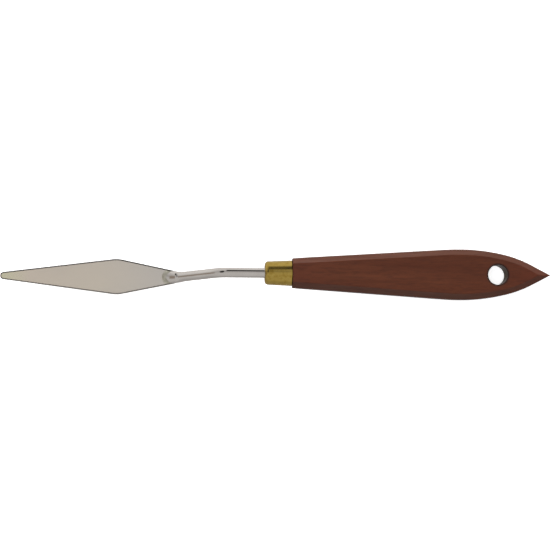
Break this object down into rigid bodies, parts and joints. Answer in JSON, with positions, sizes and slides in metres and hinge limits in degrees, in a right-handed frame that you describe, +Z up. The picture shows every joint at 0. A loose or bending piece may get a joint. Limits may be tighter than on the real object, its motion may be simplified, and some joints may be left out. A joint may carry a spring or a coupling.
{
  "type": "palette knife",
  "caption": "Painter's palette knife: lozenge blade of springy steel on a cranked round shank, brass ferrule, flat shaped wooden handle with a hanging hole and a pointed end.",
  "frame": {"origin": "on the table, under the middle of the knife's overall box, with the flat of the handle level from side to side and the knife touching the table at the heel of its crank and the pointed end of its handle; let go in this pose, the knife rolls a few degrees to one side", "axes": "+X from the blade's tip towards the handle's pointed end, +Z up from the table; the axis of the handle falls by about 3.6 degrees towards +X"},
  "size_m": [0.2227, 0.0202, 0.0168],
  "materials": {
    "blade_steel": "polished",
    "shank_steel": "polished",
    "weld_steel": "ground",
    "brass": "polished",
    "wood": "stained and lacquered",
    "resin": "cast in the bore"
  },
  "bodies": {
    "handle": {"handle": "wood", "ferrule": "brass", "shank": "shank_steel", "weld": "weld_steel", "tang_resin": "resin"},
    "blade": {"blade": "blade_steel"}
  },
  "joints": [
    {"name": "blade_flex", "type": "hinge", "parent": "handle", "child": "blade", "pos_m": [-0.04957, -0.0015, 0.00155], "axis": [0, 1, 0], "range_deg": [-25, 25], "stiffness_Nm_per_rad": 2.3, "deforming": ["blade"]}
  ]
}
